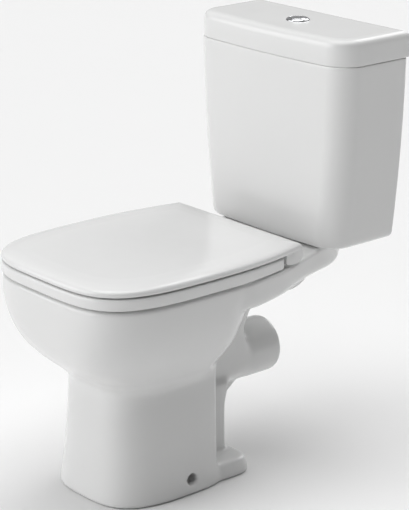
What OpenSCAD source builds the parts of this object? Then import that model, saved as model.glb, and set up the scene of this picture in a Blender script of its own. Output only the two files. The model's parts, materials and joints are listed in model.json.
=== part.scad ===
// Close coupled toilet: washdown pan with horizontal outlet, cistern, seat and fittings.
// Origin on the floor under the middle of the overall box. +X right, -Y front, +Z up.

/* [Overall] */
// Distance from the front of the seat to the wall
overall_depth = 656; // [652:2:660]
// Height of the pan rim above the floor
rim_z = 385; // [383:1:387]
// Width of the seat and of the pan rim
seat_width = 376; // [370:2:380]

/* [Pan] */
// Thickness of the glazed ceramic walls
wall = 12; // [10:1:13]
// Height of the centre of the horizontal outlet
outlet_z = 182; // [180:1:184]
// Outer diameter of the outlet spigot
outlet_d = 102; // [100:1:104]
// Diameter of the passage through the trap
trap_d = 52; // [48:1:54]
// Diameter of the two holes for the floor screws
floor_hole_d = 20; // [16:1:22]

/* [Cistern] */
// Height of the bottom of the cistern
tank_z0 = 390; // [389:1:391]
// Height of the joint between the cistern and its lid
tank_z1 = 718; // [712:1:722]
// Height of the top of the cistern lid
tank_top = 764; // [760:1:766]
// Half the width of the cistern at its bottom
tank_w0 = 169; // [166:1:172]
// Half the width of the cistern at its top
tank_w1 = 192; // [190:1:194]
// Depth position of the flush valve and its buttons
valve_y = 241; // [238:1:244]
// Sideways position of the filling valve
fill_x = -132; // [-134:1:-128]

/* [Seat] */
// Spacing of the two seat hinges
hinge_spacing = 155; // [150:1:160]
// Thickness of the seat ring
ring_t = 20; // [18:1:20]
// Diameter of the hinge pins
hinge_pin_d = 8; // [7:0.5:9]

/* [Flush buttons] */
// Outer diameter of the chrome bezel
bezel_d = 42; // [40:1:46]
// Gap between moving buttons and the bezel
button_gap = 0.4; // [0.3:0.1:0.6]

/* [Hidden] */
$fn = 64;

china = [0.95, 0.95, 0.94];
plastic_white = [0.97, 0.97, 0.96];
chrome = [0.78, 0.79, 0.81];
brass = [0.80, 0.66, 0.36];
rubber_black = [0.12, 0.12, 0.13];
plastic_grey = [0.62, 0.65, 0.68];
plastic_blue = [0.30, 0.45, 0.62];
foam_black = [0.16, 0.16, 0.17];

eps = 0.5;
front_y = -overall_depth / 2;
wall_y = overall_depth / 2;
seat_w = seat_width / 2;
belly_y = -85;            // widest section of the pan and the seat
step_y = -33;             // rear edge of the pedestal's side panels
body_w = 51;              // half the width of the inner body that holds the trap
stem_w = 62;              // half the width of the stem under it
platform_z = rim_z + 3;   // where the cistern stands
platform_y = 177;         // front crease of the cistern platform
ring_z0 = rim_z + 3;      // the ring stands on buffers
ring_z1 = ring_z0 + ring_t;
lid_z0 = ring_z1 + 3;
lid_top = lid_z0 + 15;
hinge_y = 94;
hinge_z = rim_z + 18;
hinge_x = hinge_spacing / 2;
ring_lug_x = hinge_x - 17.5;
lid_lug_x = hinge_x + 17.5;
stud_y = hinge_y - 9;
ear_r = 14;               // the seat lid's ears turn inside this radius
deck_z0 = 334;            // underside of the deck beside the bowl
deck_z1 = 341;            // underside of the deck under the cistern
inlet_well_r = 46;
inlet_well_z = platform_z - 22;
bolt_x = 72;              // cistern bolts, from the middle
pocket_z = platform_z - 18; // roof of the pockets that hide the nuts under the deck
tank_floor = tank_z0 + wall;
tank_belly = 0.8;         // how far the cistern's sides bulge
tank_front0 = 169;
tank_front1 = 164;
tank_back = wall_y - 7;

// ---- outlines and lofted solids ---------------------------------------------

function sgn_pow(v, e) = sign(v) * pow(abs(v), e);
function at_z(points, z) = [for (p = points) [p.x, p.y, z]];
function arc(cx, cy, r, a0, a1, n) =
    [for (i = [0:n]) let (a = a0 + (a1 - a0) * i / n) [cx + r * cos(a), cy + r * sin(a)]];

// Rounded D: a superellipse front, sides that run back to a rear edge with round corners
function dee(w, front, rear_w, rear, corner, power, mid = belly_y) =
    let (nf = 20, ns = 3, nc = 3, side_end = rear - corner)
    concat(
        [for (i = [0:nf]) let (t = 180 * i / nf)
            [-w * sgn_pow(cos(t), 2 / power), mid - (mid - front) * pow(sin(t), 2 / power)]],
        [for (s = [1:ns]) let (u = s / ns) [w - (w - rear_w) * u * u, mid + (side_end - mid) * u]],
        [for (i = [1:nc]) let (a = 90 * i / nc)
            [rear_w - corner + corner * cos(a), side_end + corner * sin(a)]],
        [for (i = [0:nc]) let (a = 90 + 90 * i / nc)
            [-rear_w + corner + corner * cos(a), side_end + corner * sin(a)]],
        [for (s = [ns - 1:-1:1]) let (u = s / ns)
            [-w + (w - rear_w) * u * u, mid + (side_end - mid) * u]]);

// Egg: a superellipse whose front and rear halves have their own depth
function egg(w, front, rear, mid, power, n = 32) =
    [for (i = [0:n - 1]) let (t = 360 * i / n - 180, s = sin(t))
        [w * sgn_pow(cos(t), 2 / power),
         mid + sgn_pow(s, 2 / power) * (s < 0 ? mid - front : rear - mid)]];

// Cistern plan: bowed front with large corners, straight back with small ones
function tank_plan(w, front, back, front_r, back_r, bow, inset = 0) =
    let (x = w - inset, f = front + inset, b = back - inset,
         r = max(front_r - inset, 4), q = max(back_r - inset, 2), half = x - r)
    concat(
        arc(-half, f + r, r, 180, 270, 8),
        [for (i = [1:5]) let (u = -1 + i / 3) [half * u, f - bow * (1 - u * u)]],
        arc(half, f + r, r, 270, 360, 8),
        arc(x - q, b - q, q, 0, 90, 3),
        arc(q - x, b - q, q, 90, 180, 3));

// Closed solid through a stack of outlines with the same number of points
module loft(levels) {
    n = len(levels[0]);
    top = (len(levels) - 1) * n;
    polyhedron(
        points = [for (level = levels) for (p = level) p],
        faces = concat(
            [for (j = [1:n - 2]) [0, j, j + 1]],
            [for (i = [0:len(levels) - 2]) for (j = [0:n - 1])
                let (a = i * n + j, b = i * n + (j + 1) % n) [a, a + n, b + n]],
            [for (i = [0:len(levels) - 2]) for (j = [0:n - 1])
                let (a = i * n + j, b = i * n + (j + 1) % n) [a, b + n, b]],
            [for (j = [1:n - 2]) [top, top + j + 1, top + j]]));
}

// Round tube along a path [y, z, radius] in the middle plane
module bent_bar(path, n = 16) {
    last = len(path) - 1;
    function heading(i) =
        let (a = path[max(i - 1, 0)], b = path[min(i + 1, last)]) atan2(b[1] - a[1], b[0] - a[0]);
    loft([for (i = [0:last])
        let (h = heading(i), r = path[i][2])
        [for (j = [0:n - 1]) let (a = 360 * j / n)
            [-r * cos(a), path[i][0] - r * sin(a) * sin(h), path[i][1] + r * sin(a) * cos(h)]]]);
}

module ring(outer, inner, z0, z1) {
    translate([0, 0, z0]) difference() {
        cylinder(h = z1 - z0, r = outer);
        translate([0, 0, -eps]) cylinder(h = z1 - z0 + 2 * eps, r = inner);
    }
}

module across_x(y, z, r, x0, x1) {
    translate([x0, y, z]) rotate([0, 90, 0]) cylinder(h = x1 - x0, r = r);
}

module slab(x0, x1, y0, y1, z0, z1) {
    translate([x0, y0, z0]) cube([x1 - x0, y1 - y0, z1 - z0]);
}

module wing_nut(z0, bore, height = 9) {
    difference() {
        union() {
            translate([0, 0, z0]) cylinder(h = height, r = bore + 4);
            slab(-13, 13, -1.6, 1.6, z0, z0 + height - 1);
        }
        translate([0, 0, z0 - eps]) cylinder(h = height + 2 * eps, r = bore);
    }
}

module both_sides(x) {
    for (side = [-1, 1]) translate([side * x, 0, 0]) children();
}

// ---- pan ----------------------------------------------------------------------

// Stations of the apron: height, half width, front, rear half width, rear, corner power
apron_stations = [
    [0, 120, -253, 114, step_y, 3.3],
    [44, 116, -245, 107, step_y, 3.3],
    [103, 112.5, -239.5, 105, step_y, 3.3],
    [150, 110.5, -235.5, 104.5, step_y, 3.3],
    [198, 109, -233, 104, step_y, 3.3],
    [218, 120, -249, 106, step_y, 3.3],
    [236, 135, -270, 109, step_y, 3.4],
    [256, 150, -291, 120, -17, 3.5],
    [280, 165, -309, 131, -7, 3.6],
    [309, 177, -321, 142, -3, 3.7],
    [336, 184, -326, 151, -1, 3.8],
    [363, seat_w - 1, front_y + 0.5, 164, 2, 3.9],
    [rim_z, seat_w - 2, front_y + 1.5, 170, 6, 3.9]];

// Half width of the deck against depth; it grows out of the bowl and ends round at the back
deck_sides = [[-110, 90], [-75, 150], [-45, 180.5], [-20, 182.5], [0, 181], [60, 171], [103, 156],
              [150, 139], [177, 131], [210, 123], [235, 114], [256, 100], [272, 82], [288, 58], [298, 34], [300, 17]];

function deck_plan(inset, from = -120) =
    let (s = [for (p = deck_sides) if (p[0] > from) p])
    concat([for (p = s) [p[1] - inset, p[0] - inset * max(0, p[0]) / 300]],
           [for (i = [len(s) - 1:-1:0]) [inset - s[i][1], s[i][0] - inset * max(0, s[i][0]) / 300]]);

function deck_under(y) = deck_z0 + (deck_z1 - deck_z0) * min(1, max(0, y) / 126);

// Bowl cavity: height, half width, front, rear
bowl_stations = [
    [62, 16, -106, -70], [66, 25, -114, -62], [80, 33, -122, -54], [105, 40, -128, -51],
    [150, 54, -147, -50], [200, 74, -181, -48], [250, 100, -226, -36],
    [300, 128, -268, -20], [335, 141, -286, -14], [347, 141, -287, -12],
    [355, 129, -275, -4], [rim_z + 1, 128, -274, 0]];

function bowl_level(s, grow) =
    at_z(egg(s[1] + grow, s[2] - grow, s[3] + grow, -88, 2.5), s[0]);

// Middle line of the waterway from the sump over the weir to the outlet
trap_path = [[-92, 90], [-62, 86], [-40, 88], [-24, 98], [-15, 116], [-12, 140],
             [-5, 164], [12, 182], [36, 190], [62, 188], [84, 185]];

// Side view of the inner body: stem, trap and the flush duct under the deck
inner_body_side = [
    [-60, 1], [27, 1], [27, 120], [29, 134], [36, 146], [52, 156], [80, 166],
    [88, 180], [82, 246], [90, 264], [99, 279], [110, 287], [126, 290], [170, 290],
    [190, 293], [206, 301], [220, 316], [234, 338], [240, 350], [-60, 350]];

flush_duct_side = [
    [-30, 318], [160, 303], [188, 305], [200, 316], [218, 342], [232, 352],
    [valve_y + 30, 352], [valve_y + 30, inlet_well_z + eps], [-30, inlet_well_z + eps]];

// The brace between the stem and the underside of the trap
brace_side = [[10, 70], [27, 77], [69, 108], [100, 134], [100, 150], [10, 150]];

foot_h = 31;
function foot_plan(inset) =
    let (w = 111 - inset, r = 28 - inset, back = 45 - inset)
    concat([[-90, -70], [90, -70], [w - 3, -45], [w, -20]],
           arc(w - r, back - r, r, 0, 90, 5), arc(r - w, back - r, r, 90, 180, 5),
           [[-w, -20], [3 - w, -45]]);

module side_profile(points, half_width) {
    rotate([90, 0, 90]) translate([0, 0, -half_width])
        linear_extrude(height = 2 * half_width) polygon(points);
}

module pan_outside() {
    loft([for (s = apron_stations) at_z(dee(s[1], s[2], s[3], s[4], 6, s[5]), s[0])]);
    loft([[for (p = deck_plan(9)) [p.x, p.y, deck_under(p.y)]],
          [for (p = deck_plan(2)) [p.x, p.y, deck_under(p.y) + 7]],
          [for (p = deck_plan(0)) [p.x, p.y, deck_under(p.y) + 20]],
          at_z(deck_plan(0), rim_z)]);
    translate([0, 0, rim_z - 6]) linear_extrude(height = platform_z - rim_z + 6)
        polygon(deck_plan(0.8, platform_y - 2));
    side_profile(inner_body_side, body_w);
    slab(-stem_w, stem_w, -60, 27, 1, 146);
    translate([0, 20, outlet_z]) rotate([-90, 0, 0]) cylinder(h = 82, d = outlet_d - 2);
    translate([0, 101, outlet_z]) rotate([-90, 0, 0]) cylinder(h = 65, d = outlet_d);
    loft([at_z(foot_plan(-1.5), 0), at_z(foot_plan(1.5), foot_h - 8),
          at_z(foot_plan(4.5), foot_h - 2), at_z(foot_plan(9), foot_h)]);
    side_profile(brace_side, 11);
}

function apron_inside(i, rear_w, rear) =
    let (s = apron_stations[i]) dee(s[1] - wall, s[2] + wall, rear_w, rear, 5, s[5]);

// The space inside the pedestal, open to the floor, round the bowl and the stem
module pedestal_hollow() {
    difference() {
        loft([at_z(apron_inside(0, 92, step_y - wall), -1),
              for (i = [2, 4]) at_z(apron_inside(i, 92, step_y - wall), apron_stations[i][0] + 2),
              for (i = [5, 7]) at_z(apron_inside(i, 94, step_y - wall), apron_stations[i][0] + 4),
              for (i = [8, 9]) at_z(apron_inside(i, 116, -24), apron_stations[i][0] + 4),
              at_z(dee(110, -250, 80, -32, 5, 3.8), 330)]);
        loft([for (s = bowl_stations) if (s[0] < 340) bowl_level(s, 10)]);
        translate([0, -88, 62 - wall]) cylinder(h = 30, r = 24);
        slab(-trap_d / 2 - wall, trap_d / 2 + wall, -110, step_y, 62 - wall, 130);
        both_sides(98) across_x(-100, 27, floor_hole_d / 2 + 7, -14, 14);
    }
}

module pan_casting() {
    difference() {
        pan_outside();
        pedestal_hollow();
        loft([for (s = bowl_stations) bowl_level(s, 0)]);
        bent_bar([for (p = trap_path) [p[0], p[1], trap_d / 2]]);
        translate([0, 74, outlet_z]) rotate([-90, 0, 0]) cylinder(h = 100, d = outlet_d - 14);
        side_profile(flush_duct_side, 40);
        translate([0, valve_y, inlet_well_z - 20]) cylinder(h = 60, r = 34);
        translate([0, valve_y, inlet_well_z]) cylinder(h = 30, r = inlet_well_r);
        both_sides(bolt_x) translate([0, valve_y, 0]) {
            translate([0, 0, 320]) cylinder(h = 80, r = 6);
            translate([0, 0, 320]) cylinder(h = pocket_z - 320, r = 17);
        }
        both_sides(hinge_x) translate([0, stud_y, 0]) {
            translate([0, 0, 320]) cylinder(h = 80, r = 7);
            translate([0, 0, 320]) cylinder(h = pocket_z - 320, r = 15);
        }
        across_x(-100, 27, floor_hole_d / 2, -130, 130);
    }
}

// The pan is one casting. Its five nodes meet face to face at hidden planes.
bowl_base = 200;          // the bowl stands on the pedestal here
duct_base = 262;          // the deck lies on the outlet body here
deck_start = 60;

module pan_bowl() {
    color(china) intersection() {
        pan_casting();
        union() {
            slab(-200, 200, front_y - 1, step_y, bowl_base, platform_z + 1);
            slab(-200, 200, step_y - 1, deck_start, duct_base, platform_z + 1);
        }
    }
}

// Round the sump, inside the hollow of the pedestal
module sump_space() {
    intersection() {
        union() {
            loft([for (s = bowl_stations) if (s[0] <= 250) bowl_level(s, 14)]);
            slab(-42, 42, -125, step_y, 40, 135);
        }
        slab(-200, 200, front_y, step_y - wall - 1, -1, bowl_base);
    }
}

module pan_sump() {
    color(china) intersection() {
        pan_casting();
        sump_space();
    }
}

module pan_pedestal() {
    color(china) difference() {
        intersection() {
            pan_casting();
            slab(-200, 200, front_y - 1, step_y, -1, bowl_base);
        }
        sump_space();
    }
}

module pan_outlet() {
    color(china) intersection() {
        pan_casting();
        slab(-200, 200, step_y, 170, -1, duct_base);
    }
}

module pan_deck() {
    color(china) intersection() {
        pan_casting();
        slab(-200, 200, deck_start, wall_y, duct_base, platform_z + 1);
    }
}

// ---- cistern ------------------------------------------------------------------

function tank_level(z, inset) =
    let (u = (z - tank_z0) / (tank_z1 - tank_z0))
    at_z(tank_plan(tank_w0 + (tank_w1 - tank_w0) * (u + tank_belly * u * (1 - u)),
                   tank_front0 + (tank_front1 - tank_front0) * u,
                   tank_back, 46, 8, 5, inset), z);

module tank() {
    color(china) difference() {
        loft([tank_level(tank_z0, 9), tank_level(tank_z0 + 2, 4), tank_level(tank_z0 + 5, 1.5),
              tank_level(tank_z0 + 10, 0),
              for (u = [0.25, 0.5, 0.75, 1]) tank_level(tank_z0 + (tank_z1 - tank_z0) * u, 0)]);
        loft([tank_level(tank_floor, wall + 6), tank_level(tank_floor + 8, wall - 1),
              for (u = [0.25, 0.5, 0.75]) tank_level(tank_z0 + (tank_z1 - tank_z0) * u, wall - 1),
              tank_level(tank_z1 + 1, wall - 1)]);
        translate([0, valve_y, tank_z0 - 5]) cylinder(h = 30, r = 31);
        both_sides(bolt_x) translate([0, valve_y, tank_z0 - 5]) cylinder(h = 30, r = 6);
        translate([fill_x, fill_y, tank_z0 - 5]) cylinder(h = 30, r = 11.5);
    }
}

module tank_lid() {
    lid_w = tank_w1 + 0.5;
    function level(z, inset) =
        at_z(tank_plan(lid_w, tank_front1, wall_y, 49, 6, 5.5, inset), z);
    color(china) difference() {
        loft([level(tank_z1, 1), level(tank_z1 + 2, 0), level(tank_top - 12, 0.5),
              level(tank_top - 7, 2), level(tank_top - 3, 6), level(tank_top - 1, 12),
              level(tank_top, 22)]);
        loft([level(tank_z1 - 1, 16), level(tank_z1 + 24, 16), level(tank_top - wall, 24)]);
        translate([0, valve_y, tank_z1]) cylinder(h = 60, r = 18);
    }
}

// ---- seat ---------------------------------------------------------------------

function seat_plan(inset, rear, rear_w, corner) =
    dee(seat_w - inset, front_y + inset, rear_w - inset, rear - inset, corner, 3.9);

module hinge_lug(x0, x1, r, y0, z0, z1) {
    difference() {
        union() {
            across_x(hinge_y, hinge_z, r, x0, x1);
            slab(x0, x1, y0, hinge_y, z0, z1);
        }
        across_x(hinge_y, hinge_z, hinge_pin_d / 2 + 0.05, x0 - 1, x1 + 1);
    }
}

module seat_ring() {
    hole = function (z, grow) at_z(egg(114 + grow, -264 - grow, 24 + grow, -100, 2.5), z);
    color(plastic_white) {
        difference() {
            loft([at_z(seat_plan(3, 62, 173, 12), ring_z0),
                  at_z(seat_plan(0, 62, 173, 12), ring_z0 + 5),
                  at_z(seat_plan(0, 62, 173, 12), ring_z1 - 4),
                  at_z(seat_plan(4, 62, 173, 12), ring_z1)]);
            loft([hole(ring_z0 - 1, 1), hole(ring_z0 + 8, 0), hole(ring_z1 - 4, 2),
                  hole(ring_z1 + 1, 9)]);
        }
        for (side = [-1, 1])
            hinge_lug(side * ring_lug_x - 8, side * ring_lug_x + 8, 9, 54, hinge_z - 8, ring_z1 - 1);
    }
}

module seat_lid() {
    rear = hinge_y + ear_r;
    inside_z = lid_top - 5;
    color(plastic_white) {
        difference() {
            loft([at_z(seat_plan(1, rear, 165, 8), lid_z0),
                  at_z(seat_plan(0, rear, 165, 8), lid_z0 + 4),
                  at_z(seat_plan(2, rear, 165, 8), lid_top - 9),
                  at_z(seat_plan(8, rear, 165, 8), lid_top - 4),
                  at_z(seat_plan(24, rear, 165, 8), lid_top - 1),
                  at_z(seat_plan(50, rear - 10, 165, 8), lid_top)]);
            loft([at_z(seat_plan(6, rear + 2, 163, 6), lid_z0 - 1),
                  at_z(seat_plan(8, rear + 3, 163, 6), lid_z0 + 6),
                  at_z(seat_plan(24, rear + 14, 163, 6), inside_z)]);
        }
        for (side = [-1, 1]) {
            hinge_lug(side * lid_lug_x - 8, side * lid_lug_x + 8, 9, hinge_y - 9, hinge_z, inside_z + 2);
            across_x(hinge_y, hinge_z, ear_r, side * 157.5 - 7.5, side * 157.5 + 7.5);
            slab(side * 157.5 - 7.5, side * 157.5 + 7.5, 68, hinge_y, hinge_z - ear_r, lid_z0 + 6);
        }
        for (p = lid_buffer_spots) translate([p.x, p.y, lid_z0]) cylinder(h = inside_z + 1 - lid_z0, r = 8);
    }
}

ring_buffer_spots = [[-162, -180], [162, -180], [-158, 25], [158, 25]];
lid_buffer_spots = [[-146, -205], [146, -205], [-144, 25], [144, 25]];

module ring_buffers() {
    color(plastic_grey) for (p = ring_buffer_spots)
        translate([p.x, p.y, rim_z]) cylinder(h = ring_z0 - rim_z, r = 8);
}

module lid_buffers() {
    color(plastic_grey) for (p = lid_buffer_spots)
        translate([p.x, p.y, ring_z1]) cylinder(h = lid_z0 - ring_z1, r = 7);
}

// ---- seat fixings ---------------------------------------------------------------

module hinge_posts() {
    color(chrome) both_sides(hinge_x) difference() {
        union() {
            translate([0, stud_y, rim_z + 1.5]) cylinder(h = 5, r = 10.5);
            slab(-6.5, 6.5, stud_y - 4, hinge_y + 1, rim_z + 4, hinge_z);
            across_x(hinge_y, hinge_z, 8, -7.5, 7.5);
        }
        across_x(hinge_y, hinge_z, hinge_pin_d / 2, -9, 9);
        translate([0, stud_y, rim_z]) cylinder(h = 9, r = 3);
    }
}

module hinge_pins() {
    color(chrome) for (side = [-1, 1])
        across_x(hinge_y, hinge_z, hinge_pin_d / 2, side * hinge_x - 24, side * hinge_x + 24);
}

module hinge_studs() {
    color(brass) both_sides(hinge_x) translate([0, stud_y, deck_z1 + 2])
        cylinder(h = rim_z + 9 - deck_z1 - 2, r = 3);
}

module hinge_washers() {
    color(rubber_black) both_sides(hinge_x) translate([0, stud_y, 0]) {
        ring(11, 3.2, rim_z, rim_z + 1.5);
        ring(11, 3.2, pocket_z - 4, pocket_z);
    }
}

module hinge_wing_nuts() {
    color(plastic_white) both_sides(hinge_x) translate([0, stud_y, 0])
        wing_nut(pocket_z - 14, 3.1);
}

// ---- joint between the cistern and the pan ---------------------------------------

module coupling_washer() {
    color(foam_black) translate([0, valve_y, 0]) ring(inlet_well_r - 0.6, 39, inlet_well_z, tank_z0);
}

module coupling_bolts() {
    color(brass) both_sides(bolt_x) translate([0, valve_y, 0]) {
        translate([0, 0, tank_floor + 5]) cylinder(h = 5, r = 9);
        translate([0, 0, deck_z1 + 1]) cylinder(h = tank_floor + 5 - deck_z1, r = 4);
    }
}

module coupling_cone_seals() {
    color(rubber_black) both_sides(bolt_x) translate([0, valve_y, tank_floor]) difference() {
        cylinder(h = 5, r1 = 12, r2 = 9);
        translate([0, 0, -eps]) cylinder(h = 6, r = 4.1);
    }
}

module coupling_plate_washers() {
    color(brass) both_sides(bolt_x) translate([0, valve_y, 0]) ring(13, 4.2, pocket_z - 2.5, pocket_z);
}

module coupling_wing_nuts() {
    color(brass) both_sides(bolt_x) translate([0, valve_y, 0]) wing_nut(pocket_z - 12.5, 4.1);
}

// ---- flush valve ----------------------------------------------------------------

seal_z = tank_floor + 3;      // top of the base seal
lip_z = seal_z + 9;           // the lip that the flush seal closes on
cage_z0 = 520;
cage_z1 = 655;
tube_r = 15;
link_y = 36;                  // lift rods, from the valve's middle
pivot_y = 18;                 // rocker pins, from the valve's middle
rod_y = 6;                    // push rods, from the valve's middle
rocker_z = 668;
rod_r = 2.5;

module at_valve() { translate([0, valve_y, 0]) children(); }

module flush_valve_base() {
    color(plastic_white) at_valve() {
        ring(30, 25, 350, seal_z + 1);
        ring(43, 24, seal_z, seal_z + 5);
        ring(28, 24, seal_z + 4, lip_z);
        for (x = [-1, 1]) for (y = [-1, 1])
            slab(x * 28 - 3, x * 28 + 3, y * 28 - 3, y * 28 + 3, seal_z + 4, cage_z0);
    }
}

module flush_valve_seal() {
    color(rubber_black) at_valve() ring(43, 33, tank_floor, seal_z);
}

module flush_valve_back_nut() {
    color(plastic_white) at_valve() translate([0, 0, tank_z0 - 14]) difference() {
        cylinder(h = 14, r = 38, $fn = 8);
        translate([0, 0, -eps]) cylinder(h = 15, r = 30.1);
    }
}

module rod_holes(z0, z1) {
    for (side = [-1, 1]) translate([0, side * link_y, z0 - eps])
        cylinder(h = z1 - z0 + 2 * eps, r = rod_r + 0.6);
}

module flush_cage() {
    color(plastic_blue) at_valve() {
        difference() {
            union() {
                ring(43, tube_r + 0.8, cage_z0, cage_z0 + 5);
                ring(43, tube_r + 1.5, cage_z1, cage_z1 + 4);
            }
            rod_holes(cage_z0, cage_z0 + 5);
            rod_holes(cage_z1, cage_z1 + 4);
        }
        for (x = [-1, 1]) for (y = [-1, 1])
            slab(x * 28 - 3, x * 28 + 3, y * 28 - 3, y * 28 + 3, cage_z0 + 4, cage_z1 + 1);
    }
}

module rocker_brackets() {
    color(plastic_blue) at_valve() for (side = [-1, 1]) for (x = [-1, 1]) difference() {
        slab(x * 8 - 2, x * 8 + 2, side * pivot_y - 4, side * pivot_y + 4, cage_z1 + 4, rocker_z + 4);
        across_x(side * pivot_y, rocker_z, 2, x * 8 - 3, x * 8 + 3);
    }
}

module rocker_pins() {
    color(chrome) at_valve() for (side = [-1, 1]) across_x(side * pivot_y, rocker_z, 2, -10, 10);
}

module rocker(side) {
    difference() {
        union() {
            across_x(side * pivot_y, rocker_z, 4, -5, 5);
            slab(-4, 4, min(side * 3, side * pivot_y), max(side * 3, side * pivot_y),
                 rocker_z - 1, rocker_z + 2);
            for (x = [-1, 1])
                slab(x * 4.3 - 0.7, x * 4.3 + 0.7,
                     min(side * pivot_y, side * 40), max(side * pivot_y, side * 40),
                     rocker_z - 1, rocker_z + 2);
        }
        across_x(side * pivot_y, rocker_z, 2.05, -6, 6);
    }
}

module full_flush_rocker() { color(plastic_white) at_valve() rocker(-1); }
module half_flush_rocker() { color(plastic_white) at_valve() rocker(1); }

module overflow_tube() {
    color(plastic_white) at_valve() {
        ring(tube_r, tube_r - 2.5, lip_z + 4, 648);
        ring(27, tube_r - 2.5, lip_z + 4, lip_z + 8);
    }
}

module flush_seat_washer() {
    color(rubber_black) at_valve() ring(30, tube_r - 2.5, lip_z, lip_z + 4);
}

module lift_link() {
    color(plastic_blue) at_valve() {
        slab(-4, 4, -link_y - 4, -tube_r - 1, lip_z + 8, lip_z + 11);
        translate([0, -link_y, lip_z + 10]) cylinder(h = rocker_z + 10 - lip_z - 10, r = rod_r);
        translate([0, -link_y, rocker_z + 3]) cylinder(h = 4, r = 6);
    }
}

module half_flush_stop() {
    color(plastic_blue) at_valve() {
        translate([0, link_y, 470]) cylinder(h = rocker_z + 10 - 470, r = rod_r);
        translate([0, link_y, rocker_z + 3]) cylinder(h = 4, r = 6);
        translate([0, link_y, 470]) cylinder(h = 26, r = 7);
    }
}

// ---- buttons --------------------------------------------------------------------

bezel_r = bezel_d / 2;
button_r = 14.5;
button_top = tank_top + 5;
button_z0 = 742;
button_split = 3;              // the full flush half is the larger, at the front

module button_bezel() {
    color(chrome) at_valve() {
        ring(bezel_r, button_r + button_gap, tank_top, tank_top + 3);
        ring(17.5, button_r + button_gap, 736, tank_top + 1);
    }
}

module bezel_nut() {
    color(plastic_white) at_valve() translate([0, 0, tank_top - wall - 7]) difference() {
        cylinder(h = 7, r = 24, $fn = 8);
        translate([0, 0, -eps]) cylinder(h = 8, r = 17.6);
    }
}

module button_half(y0, y1) {
    color(chrome) at_valve() intersection() {
        union() {
            translate([0, 0, button_z0]) cylinder(h = button_top - 1.5 - button_z0, r = button_r);
            translate([0, 0, button_top - 1.5]) cylinder(h = 1.5, r1 = button_r, r2 = button_r - 2.5);
        }
        slab(-20, 20, y0, y1, button_z0 - 1, button_top + 1);
    }
}

module full_flush_button() { button_half(-20, button_split - button_gap / 2); }
module half_flush_button() { button_half(button_split + button_gap / 2, 20); }

module push_rod(y) {
    color(plastic_white) at_valve() translate([0, y, rocker_z + 3.4])
        cylinder(h = button_z0 - rocker_z - 3.4, r = rod_r);
}

module full_push_rod() { push_rod(-rod_y); }
module half_push_rod() { push_rod(rod_y); }

// ---- filling valve ----------------------------------------------------------------

fill_y = 245;
fill_top = 632;
float_z0 = 520;
arm_pivot = [fill_x + 16, fill_top - 6];
inlet_z0 = 350;               // bottom of the threaded inlet tail
inlet_length = 29;
down_y = -34;                 // outlet tube, from the valve's middle
link_x = 33;                  // float rod, from the valve's middle

module at_fill() { translate([fill_x, fill_y, 0]) children(); }

module fill_valve_body() {
    color(plastic_white) at_fill() difference() {
        union() {
            translate([0, 0, inlet_z0]) cylinder(h = inlet_length, r = 10.4);
            translate([0, 0, inlet_z0 + 1]) cylinder(h = tank_floor + 2 - inlet_z0, r = 10.2);
            translate([0, 0, tank_floor + 2]) cylinder(h = 5, r = 14.5);
            translate([0, 0, tank_floor + 6]) cylinder(h = 190, r = 9);
            translate([0, 0, fill_top - 34]) cylinder(h = 34, r = 15);
            slab(-9, 9, down_y - 7, -4, fill_top - 30, fill_top - 16);
            slab(8, 21, -5, -2.6, fill_top - 12, fill_top);
            slab(8, 21, 2.6, 5, fill_top - 12, fill_top);
        }
        translate([0, 0, inlet_z0 - 5]) cylinder(h = 260, r = 5.5);
        translate([0, down_y, fill_top - 31]) cylinder(h = 10, r = 5.2);
        translate([16, 6, arm_pivot[1]]) rotate([90, 0, 0]) cylinder(h = 12, r = 1.5);
        slab(11.5, 22, -2.6, 2.6, fill_top - 13, fill_top + eps);
    }
}

module fill_valve_seal() {
    color(rubber_black) at_fill() ring(14.5, 10.5, tank_floor, tank_floor + 2);
}

module fill_valve_back_nut() {
    color(plastic_white) at_fill() translate([0, 0, tank_z0 - 9]) difference() {
        cylinder(h = 9, r = 17, $fn = 6);
        translate([0, 0, -eps]) cylinder(h = 10, r = 10.5);
    }
}

module fill_valve_cap() {
    color(plastic_blue) at_fill() translate([0, 0, fill_top]) {
        cylinder(h = 8, r = 13);
        translate([0, 0, 8]) cylinder(h = 5, r1 = 13, r2 = 9);
    }
}

module float_cup() {
    color(plastic_blue) at_fill() difference() {
        translate([0, 0, float_z0]) cylinder(h = 56, r = 25);
        translate([0, 0, float_z0 - 1]) cylinder(h = 60, r = 10);
        translate([0, 0, float_z0 - 1]) difference() {
            cylinder(h = 50, r = 22.5);
            translate([0, 0, -1]) cylinder(h = 52, r = 12.5);
        }
    }
}

module float_link() {
    color(plastic_white) at_fill() {
        slab(link_x - 12, link_x + 2.5, -2.5, 2.5, float_z0 + 56, float_z0 + 60);
        translate([link_x, 0, float_z0 + 58]) cylinder(h = 34, r = 2);
    }
}

module float_arm() {
    color(plastic_white) translate([arm_pivot[0], fill_y, arm_pivot[1]]) difference() {
        union() {
            rotate([90, 0, 0]) translate([0, 0, -2.2]) cylinder(h = 4.4, r = 4);
            slab(0, 26, -2.2, 2.2, -1.5, 1.5);
        }
        rotate([90, 0, 0]) translate([0, 0, -6]) cylinder(h = 12, r = 1.55);
    }
}

module float_arm_pin() {
    color(chrome) translate([arm_pivot[0], fill_y, arm_pivot[1]])
        rotate([90, 0, 0]) translate([0, 0, -5.5]) cylinder(h = 11, r = 1.5);
}

module outlet_down_tube() {
    color(plastic_grey) at_fill() translate([0, down_y, 0]) ring(7, 5.2, tank_floor + 30, fill_top - 30);
}

module inlet_filter() {
    color(plastic_grey) at_fill() translate([0, 0, inlet_z0 + 2]) cylinder(h = 24, r = 5.4);
}

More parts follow.
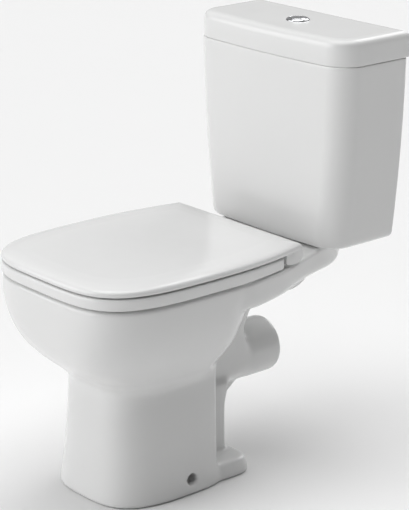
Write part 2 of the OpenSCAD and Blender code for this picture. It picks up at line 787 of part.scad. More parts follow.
pan_bowl();
pan_sump();
pan_pedestal();
pan_outlet();
pan_deck();
tank();
tank_lid();
seat_ring();
seat_lid();
ring_buffers();
lid_buffers();
hinge_posts();
hinge_pins();
hinge_studs();
hinge_washers();
hinge_wing_nuts();
coupling_washer();
coupling_bolts();
coupling_cone_seals();
coupling_plate_washers();
coupling_wing_nuts();
flush_valve_base();
flush_valve_seal();
flush_valve_back_nut();
flush_cage();
rocker_brackets();
overflow_tube();
flush_seat_washer();
lift_link();
half_flush_stop();
full_flush_rocker();
half_flush_rocker();
rocker_pins();
button_bezel();
bezel_nut();
full_flush_button();
half_flush_button();
full_push_rod();
half_push_rod();
fill_valve_body();
fill_valve_seal();
fill_valve_back_nut();
fill_valve_cap();
float_cup();
float_link();
float_arm();
float_arm_pin();
outlet_down_tube();
inlet_filter();
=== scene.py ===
# Close coupled toilet: the glazed pan and cistern, the seat and the fittings, made round
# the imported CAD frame.

import json
import math

import bmesh
import bpy
import numpy as np
from mathutils import Matrix, Vector


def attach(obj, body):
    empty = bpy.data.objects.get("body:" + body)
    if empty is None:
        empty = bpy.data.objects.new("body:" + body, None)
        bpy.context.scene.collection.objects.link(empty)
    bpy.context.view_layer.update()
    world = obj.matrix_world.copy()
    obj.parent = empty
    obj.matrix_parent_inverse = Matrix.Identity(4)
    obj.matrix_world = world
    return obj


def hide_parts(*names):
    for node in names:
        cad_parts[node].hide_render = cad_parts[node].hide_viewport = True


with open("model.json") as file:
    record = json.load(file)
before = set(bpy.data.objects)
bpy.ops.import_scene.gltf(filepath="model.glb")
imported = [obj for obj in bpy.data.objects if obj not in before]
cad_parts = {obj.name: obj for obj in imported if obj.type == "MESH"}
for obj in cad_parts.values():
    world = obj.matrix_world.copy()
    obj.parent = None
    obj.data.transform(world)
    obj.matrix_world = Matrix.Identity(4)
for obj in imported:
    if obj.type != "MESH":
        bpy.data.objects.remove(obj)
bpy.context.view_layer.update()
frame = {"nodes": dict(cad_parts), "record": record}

MM = 0.001                      # shapes are written in millimetres
ROOT, LID, RING, COVER = "pan_and_cistern", "lid_body", "ring_body", "tank_lid_body"

# ---- camera -------------------------------------------------------------------

CAMERA_AZIMUTH, CAMERA_ELEVATION = math.radians(49.352), math.radians(18.273)
CAMERA_TARGET = Vector((0.0147, 0.0136, 0.3832))
CAMERA_DISTANCE = 3.5
LENS, SENSOR = 142.64, 36.0


def add_camera():
    back = Vector((math.sin(CAMERA_AZIMUTH) * math.cos(CAMERA_ELEVATION),
                   -math.cos(CAMERA_AZIMUTH) * math.cos(CAMERA_ELEVATION),
                   math.sin(CAMERA_ELEVATION)))
    data = bpy.data.cameras.new("camera")
    data.lens, data.sensor_width = LENS, SENSOR
    camera = bpy.data.objects.new("camera", data)
    camera.location = CAMERA_TARGET + back * CAMERA_DISTANCE
    camera.rotation_euler = (-back).to_track_quat("-Z", "Y").to_euler()
    bpy.context.scene.collection.objects.link(camera)
    bpy.context.scene.camera = camera


add_camera()

# ---- materials ----------------------------------------------------------------


def new_material(name, color, **fixed):
    """A Principled material. fixed sets the shader's own sockets, with _ for a space."""
    material = bpy.data.materials.new(name)
    material.use_nodes = True
    shader = material.node_tree.nodes["Principled BSDF"]
    shader.inputs["Base Color"].default_value = (*color, 1)
    for key, value in fixed.items():
        shader.inputs[key.replace("_", " ").title().replace("Ior", "IOR")].default_value = value
    material.diffuse_color = (*color, 1)
    return material


def node(material, kind, **inputs):
    made = material.node_tree.nodes.new(kind)
    for key, value in inputs.items():
        made.inputs[key.replace("_", " ")].default_value = value
    return made


def noise(material, scale, detail=3.0, distortion=0.0, stretch=(1, 1, 1)):
    """Noise in the piece's own space, scale in features per metre."""
    links = material.node_tree.links
    where = node(material, "ShaderNodeTexCoord")
    place = node(material, "ShaderNodeMapping", Scale=stretch)
    made = node(material, "ShaderNodeTexNoise", Scale=scale, Detail=detail, Distortion=distortion)
    links.new(where.outputs["Object"], place.inputs["Vector"])
    links.new(place.outputs["Vector"], made.inputs["Vector"])
    return made.outputs["Fac"]


def pores(material, scale):
    """Distance to the nearest cell's middle, for pits and pores."""
    where = node(material, "ShaderNodeTexCoord")
    made = node(material, "ShaderNodeTexVoronoi", Scale=scale)
    material.node_tree.links.new(where.outputs["Object"], made.inputs["Vector"])
    return made.outputs["Distance"]


def spread(material, value, low, high, to_low, to_high):
    """value taken from low..high to to_low..to_high."""
    made = node(material, "ShaderNodeMapRange")
    for key, number in (("From Min", low), ("From Max", high), ("To Min", to_low),
                        ("To Max", to_high)):
        made.inputs[key].default_value = number
    material.node_tree.links.new(value, made.inputs["Value"])
    return made.outputs["Result"]


MIX_FACTOR, MIX_FIRST, MIX_SECOND, MIX_RESULT = 0, 6, 7, 2     # colour sockets of a Mix node


def vary_color(material, value, first, second):
    """Base colour between two colours as value goes from 0 to 1."""
    mix = material.node_tree.nodes.new("ShaderNodeMix")
    mix.data_type = "RGBA"
    mix.inputs[MIX_FIRST].default_value = (*first, 1)
    mix.inputs[MIX_SECOND].default_value = (*second, 1)
    links = material.node_tree.links
    links.new(value, mix.inputs[MIX_FACTOR])
    links.new(mix.outputs[MIX_RESULT], material.node_tree.nodes["Principled BSDF"].inputs["Base Color"])


def vary_roughness(material, value, low, high):
    shader = material.node_tree.nodes["Principled BSDF"]
    material.node_tree.links.new(spread(material, value, 0.1, 0.9, low, high),
                                 shader.inputs["Roughness"])


def add_bumps(material, *layers):
    """Each layer is (height, strength, distance in metres)."""
    below = None
    for height, strength, distance in layers:
        bump = node(material, "ShaderNodeBump", Strength=strength, Distance=distance)
        links = material.node_tree.links
        links.new(height, bump.inputs["Height"])
        if below:
            links.new(below, bump.inputs["Normal"])
        below = bump.outputs["Normal"]
    links.new(below, material.node_tree.nodes["Principled BSDF"].inputs["Normal"])


def china():
    """Vitreous china under a clear white glaze that pooled in slow waves."""
    m = new_material("china_glaze", (0.72, 0.72, 0.715), coat_weight=0.15, coat_roughness=0.08,
                     ior=1.5)
    vary_color(m, noise(m, 5, 1), (0.768, 0.772, 0.770), (0.785, 0.785, 0.780))
    vary_roughness(m, noise(m, 14, 1), 0.18, 0.26)
    add_bumps(m, (noise(m, 16, 1), 0.10, 0.001))
    return m


def seat_plastic():
    """Pressed urea plastic: denser white, a little glossier, with fine flow marks."""
    m = new_material("seat_gloss", (0.73, 0.73, 0.728), coat_weight=0.15, coat_roughness=0.1,
                     ior=1.5)
    vary_color(m, noise(m, 9, 2, 0.6), (0.785, 0.788, 0.786), (0.80, 0.80, 0.797))
    vary_roughness(m, noise(m, 30, 1), 0.15, 0.25)
    add_bumps(m, (noise(m, 12, 1), 0.06, 0.0015))
    return m


def moulded(name, color, roughness=0.42, grain=900):
    """Moulded fitting plastic with flow marks and a fine spark-eroded grain."""
    darker = tuple(0.88 * c for c in color)
    m = new_material(name, color, ior=1.46)
    vary_color(m, noise(m, 60, 4, 1.2), darker, color)
    vary_roughness(m, noise(m, 120), roughness - 0.08, roughness + 0.08)
    add_bumps(m, (noise(m, grain, 3), 0.18, 0.0002), (noise(m, 45, 2), 0.08, 0.0006))
    return m


def metal(name, first, second, low, high, marks):
    """Plated or turned metal with cloudy stains and marks along one direction."""
    m = new_material(name, first, metallic=1.0)
    vary_color(m, noise(m, 110, 4), first, second)
    vary_roughness(m, noise(m, 260, 4, 0.5), low, high)
    add_bumps(m, (noise(m, 1500, 3, stretch=(1, 1, 12)), marks, 0.0001))
    return m


def rubber(name, color, pore_scale, depth):
    m = new_material(name, color, roughness=0.8, ior=1.45)
    vary_color(m, noise(m, 150, 4), color, tuple(1.7 * c + 0.01 for c in color))
    vary_roughness(m, noise(m, 300), 0.68, 0.92)
    add_bumps(m, (pores(m, pore_scale), 0.5, depth), (noise(m, 2000, 3), 0.2, 0.0002))
    return m


def floor_material():
    m = new_material("studio_floor", (0.78, 0.78, 0.78), roughness=0.9)
    vary_color(m, noise(m, 3), (0.777, 0.777, 0.777), (0.783, 0.783, 0.783))
    return m


MATERIALS = {
    "china": china(),
    "seat_plastic": seat_plastic(),
    "buffer_plastic": moulded("buffer_soft_plastic", (0.62, 0.62, 0.60), 0.5),
    "chrome": metal("polished_chrome", (0.80, 0.81, 0.82), (0.72, 0.73, 0.75), 0.05, 0.12, 0.04),
    "brass": metal("turned_brass", (0.72, 0.53, 0.25), (0.58, 0.40, 0.18), 0.26, 0.42, 0.25),
    "black_rubber": rubber("moulded_rubber", (0.018, 0.018, 0.018), 1500, 0.0002),
    "foam_rubber": rubber("cellular_rubber", (0.030, 0.030, 0.032), 700, 0.0008),
    "white_fitting_plastic": moulded("white_acetal", (0.80, 0.80, 0.77)),
    "blue_fitting_plastic": moulded("blue_polypropylene", (0.05, 0.14, 0.30)),
    "grey_fitting_plastic": moulded("grey_polypropylene", (0.20, 0.21, 0.23)),
}
SLOT_OF = {part["node"]: part["material_slot"] for part in frame["record"]["subparts"]}

# ---- outlines -----------------------------------------------------------------

HALF_COUNT = 97                 # points on half an outline
BELLY_Y = -85                   # widest section of the pan and the seat


def signed_power(value, power):
    return np.sign(value) * np.abs(value) ** power


def even(path, count, bend=0.8):
    """count points along a path, closer together where it bends."""
    path = np.asarray(path, float)
    step = np.diff(path, axis=0)
    length = np.linalg.norm(step, axis=1)
    path, step, length = path[np.append(True,
                                        length > 1e-9)], step[length > 1e-9], length[length > 1e-9]
    heading = np.unwrap(np.arctan2(step[:, 1], step[:, 0]))
    turn = np.abs(np.diff(heading, prepend=heading[0]))
    measure = np.append(0, np.cumsum(length / length.sum() + bend * turn / max(turn.sum(), 1e-9)))
    at = np.linspace(0, measure[-1], count)
    return np.stack([np.interp(at, measure, path[:, k]) for k in range(path.shape[1])], 1)


def mirrored(half, count=HALF_COUNT):
    """A closed outline from its right half, which runs from the front middle to the back middle."""
    right = even(half, count)
    return np.vstack([right, right[-2:0:-1] * (-1, 1)])


def arc(x, y, radius, start, stop, count=24):
    a = np.radians(np.linspace(start, stop, count))
    return np.stack([x + radius * np.cos(a), y + radius * np.sin(a)], 1)


def dee(width, front, rear_width, rear, corner, power):
    """Rounded D: a superellipse front, sides that run back to a rear edge with round corners."""
    t = np.linspace(math.pi / 2, 0, 400)
    nose = np.stack([width * signed_power(np.cos(t), 2 / power),
                     BELLY_Y - (BELLY_Y - front) * np.sin(t) ** (2 / power)], 1)
    u = np.linspace(0, 1, 40)
    side = np.stack([width - (width - rear_width) * u * u,
                     BELLY_Y + (rear - corner - BELLY_Y) * u], 1)
    turn = arc(rear_width - corner, rear - corner, corner, 0, 90)
    return mirrored(np.vstack([nose, side, turn, [[0, rear]]]))


def egg(width, front, rear, middle, power):
    t = np.linspace(-math.pi / 2, math.pi / 2, 700)
    s = signed_power(np.sin(t), 2 / power)
    depth = np.where(s < 0, middle - front, rear - middle)
    return mirrored(np.stack([width * np.cos(t) ** (2 / power), middle + s * depth], 1))


def tank_plan(width, front, back, front_r, back_r, bow, inset=0.0):
    """Bowed front with large corners, straight back with small ones."""
    x, f, b = width - inset, front + inset, back - inset
    r, q = max(front_r - inset, 4), max(back_r - inset, 2)
    u = np.linspace(0, 1, 60)
    bowed = np.stack([(x - r) * u, f - bow * (1 - u * u)], 1)
    return mirrored(np.vstack([bowed, arc(x - r, f + r, r, -90, 0),
                               arc(x - q, b - q, q, 0, 90), [[0, b]]]))


def at_height(outline, z):
    return np.column_stack([outline, np.full(len(outline), float(z))])


def monotone(x, y, at):
    """A smooth curve through the points that never overshoots them."""
    x, y, at = np.asarray(x, float), np.asarray(y, float), np.asarray(at, float)
    gap = np.diff(x)
    slope = np.diff(y) / gap
    product = slope[:-1] * slope[1:]
    inner = np.where(product > 0, 2 * product / np.where(product > 0, slope[:-1] + slope[1:], 1), 0)
    m = np.concatenate([slope[:1], inner, slope[-1:]])
    k = np.clip(np.searchsorted(x, at, side="right") - 1, 0, len(gap) - 1)
    t = (at - x[k]) / gap[k]
    return ((2 * t ** 3 - 3 * t ** 2 + 1) * y[k] + (t ** 3 - 2 * t ** 2 + t) * gap[k] * m[k]
            + (3 * t ** 2 - 2 * t ** 3) * y[k + 1] + (t ** 3 - t ** 2) * gap[k] * m[k + 1])


def between(stations, heights):
    """Rows of a table at other heights; the first column is the height."""
    table = np.asarray(stations, float)
    columns = [monotone(table[:, 0], table[:, k], heights) for k in range(1, table.shape[1])]
    return np.column_stack([heights, *columns])


def curve(points, count):
    """A smooth path through the points."""
    points = np.asarray(points, float)
    along = np.append(0, np.cumsum(np.linalg.norm(np.diff(points, axis=0), axis=1)))
    at = np.linspace(0, along[-1], count)
    return np.column_stack([monotone(along, points[:, k], at) for k in range(points.shape[1])])


# ---- meshes -------------------------------------------------------------------


def mesh_object(name, points, faces, sharp=35):
    mesh = bpy.data.meshes.new(name)
    mesh.from_pydata((np.asarray(points) * MM).tolist(), [], faces)
    bm = bmesh.new()
    bm.from_mesh(mesh)
    bmesh.ops.remove_doubles(bm, verts=bm.verts, dist=1e-6)
    bmesh.ops.recalc_face_normals(bm, faces=bm.faces)
    bm.to_mesh(mesh)
    bm.free()
    made = bpy.data.objects.new(name, mesh)
    bpy.context.scene.collection.objects.link(made)
    return soften(made, sharp)


def soften(obj, sharp=35):
    obj.data.shade_smooth()
    obj.data.set_sharp_from_angle(angle=math.radians(sharp))
    return obj


def skin(name, rings, sharp=35, loop=False):
    """A closed surface through rings of equal length: capped at both ends, or joined end to end."""
    rings = [np.asarray(ring, float) for ring in rings]
    n, count = len(rings[0]), len(rings)
    points = np.vstack(rings)
    faces = [(i * n + j, i * n + (j + 1) % n, (i + 1) % count * n + (j + 1) % n,
              (i + 1) % count * n + j)
             for i in range(count if loop else count - 1) for j in range(n)]
    if not loop:
        points = np.vstack([points, rings[0].mean(0), rings[-1].mean(0)])
        first, last = len(points) - 2, len(points) - 1
        faces += [(first, (j + 1) % n, j) for j in range(n)]
        faces += [(last, (count - 1) * n + j, (count - 1) * n + (j + 1) % n) for j in range(n)]
    return mesh_object(name, points, faces, sharp)


CAP_STEPS = (0.97, 0.9, 0.78, 0.6, 0.4, 0.2, 0.06)


def cap(ring, rise=0.0):
    """Rings that close an end in an even grid, crowned by rise."""
    middle = ring.mean(0)
    return [middle + (ring - middle) * s + (0, 0, rise * (1 - s * s)) for s in CAP_STEPS]


def stack(rings, rise=0.0):
    """Rings with both ends closed."""
    return cap(rings[0])[::-1] + list(rings) + cap(rings[-1], rise)


def prism(name, side, half_width):
    """A side view [y, z] given a width across the middle plane."""
    side = np.asarray(side, float)
    n = len(side)
    points = [(x, y, z) for x in (-half_width, half_width) for y, z in side]
    faces = [tuple(range(n)), tuple(range(2 * n - 1, n - 1, -1))]
    faces += [(j, (j + 1) % n, n + (j + 1) % n, n + j) for j in range(n)]
    return mesh_object(name, points, faces)


def lathe(name, profile, at, axis="Z", count=64, sharp=35):
    """A solid turned round an axis through at. The profile is [radius, along] from end to end."""
    rings = []
    for radius, along in profile:
        a = np.linspace(0, 2 * math.pi, count, endpoint=False)
        ring = np.column_stack([radius * np.cos(a), radius * np.sin(a),
                                np.full(count, float(along))])
        rings.append(ring if axis == "Z" else ring[:, [2, 0, 1]] if axis == "X" else ring[:,
                                                                                          [1, 2,
                                                                                           0]])
    closed = np.allclose(profile[0], profile[-1])
    made = skin(name, (np.asarray(r) + at for r in (rings[:-1] if closed else rings)), sharp,
                loop=closed)
    return made


def tube_rings(path, count=40):
    """Rings square to a path [y, z, radius] in the middle plane."""
    path = np.asarray(path, float)
    heading = np.arctan2(*np.gradient(path[:, :2], axis=0).T[::-1])
    a = np.linspace(0, 2 * math.pi, count, endpoint=False)
    return [np.column_stack([-r * np.cos(a), y - r * np.sin(a) * math.sin(h),
                             z + r * np.sin(a) * math.cos(h)])
            for (y, z, r), h in zip(path, heading)]


def settle(obj):
    """Replaces an object's mesh by what its modifiers make of it."""
    bpy.context.view_layer.update()
    shown = obj.evaluated_get(bpy.context.evaluated_depsgraph_get())
    mesh = bpy.data.meshes.new_from_object(shown)
    obj.modifiers.clear()
    obj.data = mesh
    return obj


def drop(obj):
    bpy.data.objects.remove(obj)


def combine(obj, others, operation):
    """Boolean union or difference with closed solids, which are used up."""
    for other in others:
        modifier = obj.modifiers.new("combine", "BOOLEAN")
        modifier.operation, modifier.solver, modifier.object = operation, "MANIFOLD", other
        settle(obj)
        drop(other)
    return obj


def cut(obj, *others):
    return combine(obj, others, "DIFFERENCE")


def fuse(obj, others=(), voxel=2.5):
    """Melts closed solids into one skin of even small faces."""
    bm = bmesh.new()
    for part in (obj, *others):
        bm.from_mesh(part.data)
    bm.to_mesh(obj.data)
    bm.free()
    for other in others:
        drop(other)
    modifier = obj.modifiers.new("fuse", "REMESH")
    modifier.mode, modifier.voxel_size, modifier.adaptivity = "VOXEL", voxel * MM, 0.0
    modifier.use_smooth_shade = True
    return settle(obj)


def relax(obj, rounds, weight=0.5):
    """Moves each point towards its neighbours, which rounds edges and fills creases as glaze does."""
    mesh = obj.data
    count = len(mesh.vertices)
    co = np.empty(count * 3)
    mesh.vertices.foreach_get("co", co)
    co = co.reshape(-1, 3)
    ends = np.empty(len(mesh.edges) * 2, int)
    mesh.edges.foreach_get("vertices", ends)
    a, b = ends.reshape(-1, 2).T
    degree = np.bincount(a, minlength=count) + np.bincount(b, minlength=count)
    for _ in range(rounds):
        total = np.column_stack([np.bincount(a, co[b, k], count) + np.bincount(b, co[a, k], count)
                                 for k in range(3)])
        co = co + weight * (total / degree[:, None] - co)
    mesh.vertices.foreach_set("co", co.ravel())
    mesh.update()
    return obj


def thin_out(obj, faces):
    modifier = obj.modifiers.new("thin", "DECIMATE")
    modifier.ratio = min(1.0, faces / (2 * len(obj.data.polygons)))
    return settle(obj)


def finish_piece(obj, body, slot, nodes=()):
    obj.data.materials.clear()
    obj.data.materials.append(MATERIALS[slot])
    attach(obj, body)
    if nodes:
        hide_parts(*nodes)
    return obj


# ---- pan ------------------------------------------------------------------------

RIM, PLATFORM, STEP_Y, WALL = 385, 388, -33, 12
HINGE_X, STUD_Y, HINGE_Y, HINGE_Z = 77.5, 85, 94, 403
VALVE_Y, BOLT_X, POCKET_Z = 241, 72, 370
OUTLET_Z = 182

# height, half width, front, rear half width, rear, corner power
APRON = [[0, 120, -253, 114, STEP_Y, 3.3], [44, 116, -245, 107, STEP_Y, 3.3],
         [103, 112.5, -239.5, 105, STEP_Y, 3.3], [150, 110.5, -235.5, 104.5, STEP_Y, 3.3],
         [198, 109, -233, 104, STEP_Y, 3.3], [218, 120, -249, 106, STEP_Y, 3.3],
         [236, 135, -270, 109, STEP_Y, 3.4], [256, 150, -291, 120, -17, 3.5],
         [280, 165, -309, 131, -7, 3.6], [309, 177, -321, 142, -3, 3.7],
         [336, 184, -326, 151, -1, 3.8], [363, 187, -327.5, 164, 2, 3.9],
         [RIM, 186, -326.5, 170, 6, 3.9]]
# depth, half width
DECK = [[-110, 90], [-75, 150], [-45, 180.5], [-20, 182.5], [0, 181], [60, 171], [103, 156],
        [150, 139],
        [177, 131], [210, 123], [235, 114], [256, 100], [272, 82], [288, 58], [298, 34], [300, 17]]
# height, half width, front, rear
BOWL = [[62, 16, -106, -70], [66, 25, -114, -62], [80, 33, -122, -54], [105, 40, -128, -51],
        [150, 54, -147, -50], [200, 74, -181, -48], [250, 100, -226, -36], [300, 128, -268, -20],
        [335, 141, -286, -14], [347, 141, -287, -12], [355, 129, -275, -4], [RIM + 1, 128, -274, 0]]
# depth, height, radius
TRAP = [[-92, 90, 26], [-62, 86, 26], [-40, 88, 26], [-24, 98, 26], [-15, 116, 26], [-12, 140, 26],
        [-5, 164, 26], [12, 182, 26], [36, 190, 26], [62, 188, 26], [84, 185, 26]]
# depth, height
INNER_BODY = [[-60, 1], [27, 1], [27, 120], [29, 134], [36, 146], [52, 156], [80, 166], [88, 180],
              [82, 246], [90, 264], [99, 279], [110, 287], [126, 290], [186, 290], [203, 294],
              [217, 303], [229, 318], [238, 336], [244, 350], [-60, 350]]
BRACE = [[10, 70], [27, 77], [69, 108], [100, 134], [100, 150], [10, 150]]
DUCT = [[-30, 318], [160, 303], [188, 305], [200, 316], [218, 342], [232, 352],
        [271, 352], [271, 366.5], [-30, 366.5]]


def deck_outline(inset, start=-110):
    rows = between(DECK, np.linspace(start, 300, 90))
    half = [[0, start], *([max(w - inset, 0), y - inset * max(y, 0) / 300] for y, w in rows),
            [0, 300 - inset]]
    return mirrored(half)


def deck_under(outline):
    return 334 + 7 * np.clip(outline[:, 1] / 126, 0, 1)


def deck():
    rings = []
    for inset, above in ((14, 0), (9, 1), (5, 4), (2, 9), (0.5, 15), (0, 22)):
        outline = deck_outline(inset)
        rings.append(np.column_stack([outline, deck_under(outline) + above]))
    return skin("deck", [*rings, at_height(deck_outline(0), RIM)])


def foot():
    def outline(inset):
        w, r, back = 111 - inset, 28 - inset, 45 - inset
        return mirrored([[0, -70], [90, -70], [w - 3, -45], [w, -20],
                         *arc(w - r, back - r, r, 0, 90), [0, back]])
    return skin("foot", [at_height(outline(i), z) for i,
                         z in ((-1.5, 0), (1.5, 23), (4, 28.5), (9, 31))])


def apron_solid(name, heights, inset=0, rear=0):
    return skin(name, stack([at_height(dee(w - inset, f + inset, rw - inset, r - rear, 6, p), z)
                             for z, w, f, rw, r, p in between(APRON, heights)]))


def bowl_solid(name, grow, top):
    return skin(name, stack([at_height(egg(w + grow, f - grow, r + grow, -88, 2.5), z)
                             for z, w, f, r in between(BOWL, np.linspace(62, top, 70))]))


def pedestal_hollow():
    """The space inside the pedestal, open to the floor, less the bowl and the sump in it."""
    heights = [-1, 20, 60, 103, 150, 198, 212, 222, 240, 260, 280, 300, 313]
    rings = []
    for z in heights:
        _, w, f, _, _, p = between(APRON, [max(z - 4, 0)])[0]
        rings.append(at_height(dee(w - WALL, f + WALL, 92 if z < 250 else 112,
                                   STEP_Y - WALL if z < 250 else -24, 5, p), z))
    rings.append(at_height(dee(110, -250, 80, -32, 5, 3.8), 330))
    hollow = skin("hollow", stack(rings))
    sump = lathe("sump", [(24, 50), (24, 80)], (0, -88, 0))
    channel = prism("channel", [[-110, 50], [STEP_Y, 50], [STEP_Y, 130], [-110, 130]], 38)
    return cut(hollow, bowl_solid("liner", 10, 338), sump, channel)


def both_sides(x, make):
    return [make(side * x) for side in (-1, 1)]


def upright(radius, x, y, bottom, top):
    return lathe("upright", [(radius, bottom), (radius, top)], (x, y, 0), count=48)


def pan():
    shell = apron_solid("pan", np.linspace(0, RIM, 64))
    web = prism("web", INNER_BODY, 51)
    stem = prism("stem", [[-60, 1], [27, 1], [27, 120], [34, 146], [34, 160], [-60, 160]], 62)
    outlet = lathe("outlet", [(51, -70), (51, 98)], (0, 0, OUTLET_Z), "Y")
    duct_box = prism("duct_box", [p for p in INNER_BODY if p[1] > 286] + [[-60, 287]], 61)
    inner = relax(fuse(web, (stem, outlet, duct_box), voxel=4), 14)
    platform = skin("platform", [at_height(deck_outline(0.8 + i, 175), z)
                                 for i, z in ((0, RIM - 6), (0, PLATFORM - 1), (1, PLATFORM))])
    spigot = lathe("spigot", [(50, 20), (50, 100), (51, 101), (51, 163), (49, 166)],
                   (0, 0, OUTLET_Z), "Y")
    fuse(shell, (inner, deck(), platform, spigot, foot(), prism("brace", BRACE, 11)))
    relax(shell, 8)
    hollow = cut(pedestal_hollow(), *both_sides(98, lambda x: lathe(
        "boss", [(17, -14), (17, 14)], (x, -100, 27), "X", count=48)))
    cut(shell, hollow, bowl_solid("bowl", 0, RIM + 1),
        skin("trap", tube_rings(curve(TRAP, 50))),
        lathe("bore", [(44, 74), (44, 174)], (0, 0, OUTLET_Z), "Y"),
        prism("duct", DUCT, 40),
        upright(34, 0, VALVE_Y, 346, 406), upright(46, 0, VALVE_Y, 366, 396),
        lathe("fixing", [(10.8, -130), (10.8, 130)], (0, -100, 27), "X", count=48))
    relax(fuse(shell), 5)
    for x, y, radius, pocket in ((BOLT_X, VALVE_Y, 6, 17), (HINGE_X, STUD_Y, 7, 15)):
        cut(shell, *both_sides(x, lambda side: upright(radius, side, y, 320, 400)),
            *both_sides(x, lambda side: upright(pocket, side, y, 320, POCKET_Z)))
    thin_out(shell, 190000)
    return soften(shell, 40)


finish_piece(pan(), ROOT, "china", ["pan_bowl", "pan_sump", "pan_pedestal", "pan_outlet",
                                    "pan_deck"])

# ---- cistern ----------------------------------------------------------------------

TANK_Z0, TANK_Z1 = 390, 718
FILL_X, FILL_Y = -132, 245


def tank_ring(z, inset):
    u = (z - TANK_Z0) / (TANK_Z1 - TANK_Z0)
    width = 169 + 23 * (u + 0.8 * u * (1 - u))
    return at_height(tank_plan(width, 169 - 5 * u, 321, 46, 8, 5, inset), z)


def tank():
    outside = [(390, 12), (390.6, 7), (392.4, 3.5), (395.5, 1.2), (400, 0)]
    outside += [(z, 0) for z in np.linspace(410, 715, 30)] + [(716.6, 0.4), (717.6, 1.4), (718, 3)]
    inside = [(718, 8), (717.6, 9.6), (716.6, 10.6)] + [(z, 11) for z in np.linspace(714, 416, 30)]
    inside += [(410, 11.6), (405, 14), (402.6, 18), (402, 24)]
    rings = [tank_ring(z, inset) for z, inset in outside + inside]
    made = skin("cistern", cap(rings[0])[::-1] + rings + cap(rings[-1]))
    return soften(cut(made, upright(31, 0, VALVE_Y, 385, 415),
                      upright(11.5, FILL_X, FILL_Y, 385, 415),
                      *both_sides(BOLT_X, lambda x: upright(6, x, VALVE_Y, 385, 415))))


def tank_cover():
    def ring(z, inset):
        return at_height(tank_plan(192.5, 164, 328, 49, 6, 5.5, inset), z)
    inside = [(752, 30), (751.4, 24), (748, 18.5), (742, 16.4), (730, 16), (720, 16), (718.5, 15),
              (718, 13.5)]
    outside = [(718, 3), (718.3, 1.2), (719.2, 0.3), (720.5, 0), (735, 0.1), (749, 0.4),
               (753, 0.9), (756.5, 2),
               (759.2, 3.8), (761.3, 6.5), (762.8, 10), (763.6, 14.5), (764, 20)]
    rings = [ring(z, inset) for z, inset in inside + outside]
    made = skin("cistern_cover", cap(rings[0])[::-1] + rings + cap(rings[-1]))
    return soften(cut(made, upright(18, 0, VALVE_Y, 740, 770)))


finish_piece(tank(), ROOT, "china", ["tank"])
finish_piece(tank_cover(), COVER, "china", ["tank_lid"])

# ---- seat -------------------------------------------------------------------------

SEAT_W, FRONT_Y = 188, -328
EAR_R, EAR_X = 14, 157.5
LID_Z0, LID_TOP, RING_Z1 = 411, 426, 408
RING_LUG_X, LID_LUG_X = HINGE_X - 17.5, HINGE_X + 17.5


def seat_outline(inset, rear, rear_w, corner):
    return dee(SEAT_W - inset, FRONT_Y + inset, rear_w - inset, rear - inset,
               max(corner - inset, 3), 3.9)


def lug(x, y, bottom, top):
    """An eye round the hinge pin and the web that joins it to the seat, for one side."""
    eye = lathe("eye", [(7.6, -8), (8.6, -7.6), (9, -6.6), (9, 6.6), (8.6, 7.6), (7.6, 8)],
                (x, HINGE_Y, HINGE_Z), "X")
    web = prism("web", [[y, bottom], [HINGE_Y, bottom], [HINGE_Y, top], [y, top]], 7.6)
    web.data.transform(Matrix.Translation((x * MM, 0, 0)))
    return [eye, web]


def pin_hole(x, half):
    return lathe("pin_hole", [(4.05, -half), (4.05, half)], (x, HINGE_Y, HINGE_Z), "X", count=32)


def seat_ring():
    outside = [(388, 3), (388.2, 1.4), (388.9, 0.4), (390.2, 0), (403, 0), (405.6, 0.4),
               (407.1, 1.4), (407.8, 3.2),
               (408, 7)]
    hole = [(408, 10), (407.6, 7), (406.2, 4.2), (403.5, 2.3), (399, 0.8), (394, 0), (390.4, 0.4),
            (388.6, 1.8),
            (388, 4)]
    outer = [at_height(seat_outline(i, 62, 173, 14), z) for z, i in outside]
    inner = [at_height(egg(114 + g, -264 - g, 24 + g, -100, 2.5), z) for z, g in hole]
    top = [outer[-1] + (inner[0] - outer[-1]) * u for u in (0.15, 0.35, 0.6, 0.85)]
    bottom = [inner[-1] + (outer[0] - inner[-1]) * u for u in (0.15, 0.4, 0.65, 0.85)]
    made = skin("seat_ring_shell", outer + top + inner + bottom, loop=True)
    for x in (-RING_LUG_X, RING_LUG_X):
        combine(made, lug(x, 54, HINGE_Z - 8, RING_Z1 - 1), "UNION")
        cut(made, pin_hole(x, 10))
    return soften(made, 40)


def seat_cover():
    rear = HINGE_Y + EAR_R
    profile = curve([(0.9, 411), (0.2, 411.9), (0, 414), (0.6, 417.4), (3, 420.3), (8, 422.4),
                     (16, 423.9),
                     (26, 424.9), (44, 425.7)], 26)
    outer = [at_height(seat_outline(i, rear, 165, 10), z) for i, z in profile]
    made = skin("seat_cover_shell", stack(outer, 0.3))
    inside = [(6, 410), (6.4, 414), (8, 417), (13, 419.6), (24, 421)]
    cut(made, skin("inside", stack([at_height(seat_outline(i, rear + 14, 163, 6), z) for i,
                                    z in inside])))
    for side in (-1, 1):
        x = side * EAR_X
        ear = lathe("ear", [(EAR_R - 3, -7.5), (EAR_R - 1, -6.9), (EAR_R, -5), (EAR_R, 5),
                            (EAR_R - 1, 6.9),
                            (EAR_R - 3, 7.5)], (x, HINGE_Y, HINGE_Z), "X")
        web = prism("ear_web", [[70, 391], [76, HINGE_Z - EAR_R], [HINGE_Y, HINGE_Z - EAR_R],
                                [HINGE_Y, 417],
                                [68, 417], [68, 394]], 7.2)
        web.data.transform(Matrix.Translation((x * MM, 0, 0)))
        combine(made, [ear, web, *lug(side * LID_LUG_X, HINGE_Y - 9, HINGE_Z, LID_TOP - 3)],
                "UNION")
        cut(made, pin_hole(side * LID_LUG_X, 10))
    for x, y in ((-146, -205), (146, -205), (-144, 25), (144, 25)):
        combine(made, [upright(8, x, y, LID_Z0, LID_TOP - 4)], "UNION")
    return soften(made, 40)


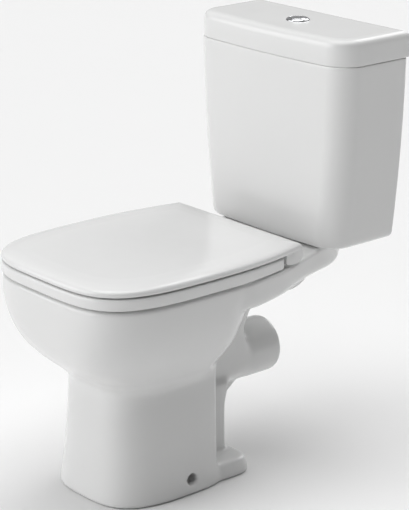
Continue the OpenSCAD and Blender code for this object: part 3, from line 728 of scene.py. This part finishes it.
finish_piece(seat_ring(), RING, "seat_plastic", ["seat_ring"])
finish_piece(seat_cover(), LID, "seat_plastic", ["seat_lid"])

# ---- flush buttons ------------------------------------------------------------------

BEZEL = [(14.9, 736), (17.5, 736), (17.5, 764), (20.6, 764), (21, 764.4), (20.7, 765.2),
         (19.6, 766.4),
         (18, 767.3), (16.6, 767.8), (15.6, 767.9), (15.1, 767.6), (14.9, 767), (14.9, 736)]
BUTTON = [(14.5, 742), (14.5, 767), (14.3, 767.7), (13.7, 768.2), (12, 768.5), (8, 768.8),
          (4, 768.95), (0.3, 769)]
SPLIT, HALF_GAP = 3, 0.2


def button(name, near, far):
    made = lathe(name, BUTTON, (0, VALVE_Y, 0), count=96)
    half = prism("half", [[VALVE_Y + near, 741], [VALVE_Y + far, 741], [VALVE_Y + far, 770],
                          [VALVE_Y + near, 770]], 20)
    combine(made, [half], "INTERSECT")
    round_edges(made, 0.35)
    return made


def round_edges(obj, width):
    """Joins doubled points and rounds the edges without touching the mesh itself."""
    weld = obj.modifiers.new("weld", "WELD")
    weld.merge_threshold = 1e-5
    bevel = obj.modifiers.new("edges", "BEVEL")
    bevel.width, bevel.segments, bevel.limit_method = width * MM, 2, "ANGLE"
    bevel.angle_limit = math.radians(35)
    bevel.use_clamp_overlap = True
    bevel.harden_normals = True


finish_piece(lathe("button_surround", BEZEL, (0, VALVE_Y, 0), count=96), COVER, "chrome",
             ["button_bezel"])
finish_piece(button("flush_button_full", -20, SPLIT - HALF_GAP), "full_button_body", "chrome",
             ["full_flush_button"])
finish_piece(button("flush_button_half", SPLIT + HALF_GAP, 20), "half_button_body", "chrome",
             ["half_flush_button"])

# ---- fittings that keep the CAD's own shape -------------------------------------------

REPLACED = {"pan_bowl", "pan_sump", "pan_pedestal", "pan_outlet", "pan_deck", "tank", "tank_lid",
            "seat_ring", "seat_lid",
            "button_bezel", "full_flush_button", "half_flush_button"}
EDGE = 0.4                      # radius on the edges of small fittings

for name, fitting in sorted(frame["nodes"].items()):
    if name in REPLACED:
        continue
    fitting.data.materials.clear()
    fitting.data.materials.append(MATERIALS[SLOT_OF[name]])
    round_edges(fitting, EDGE)

# ---- studio -----------------------------------------------------------------------------

FLOOR_HALF = 20.0


def add_floor():
    mesh = bpy.data.meshes.new("floor")
    corner = [(-FLOOR_HALF, -FLOOR_HALF, 0), (FLOOR_HALF, -FLOOR_HALF, 0),
              (FLOOR_HALF, FLOOR_HALF, 0), (-FLOOR_HALF, FLOOR_HALF, 0)]
    mesh.from_pydata(corner, [], [(0, 1, 2, 3)])
    floor = bpy.data.objects.new("floor", mesh)
    bpy.context.scene.collection.objects.link(floor)
    mesh.materials.append(floor_material())


def add_light(name, toward_azimuth, elevation, strength, softness):
    """Even light from a wide source: azimuth as for the camera, in degrees."""
    lamp = bpy.data.lights.new(name, "SUN")
    lamp.energy, lamp.angle = strength, math.radians(softness)
    light = bpy.data.objects.new(name, lamp)
    a, e = math.radians(toward_azimuth), math.radians(elevation)
    source = Vector((math.sin(a) * math.cos(e), -math.cos(a) * math.cos(e), math.sin(e)))
    light.rotation_euler = source.to_track_quat("Z", "Y").to_euler()
    bpy.context.scene.collection.objects.link(light)


def add_world(brightness):
    world = bpy.data.worlds.new("studio")
    bpy.context.scene.world = world
    world.use_nodes = True
    world.node_tree.nodes["Background"].inputs["Color"].default_value = (1, 1, 1, 1)
    world.node_tree.nodes["Background"].inputs["Strength"].default_value = brightness


add_floor()
add_light("overhead", 0, 87, 2.1, 60)
add_light("key", -28, 14, 1.95, 60)
add_light("rear", 188, 40, 1.1, 40)
add_light("sheen", 226, 28, 0.45, 90)
add_world(0.03)
bpy.context.scene.view_settings.view_transform = "Standard"
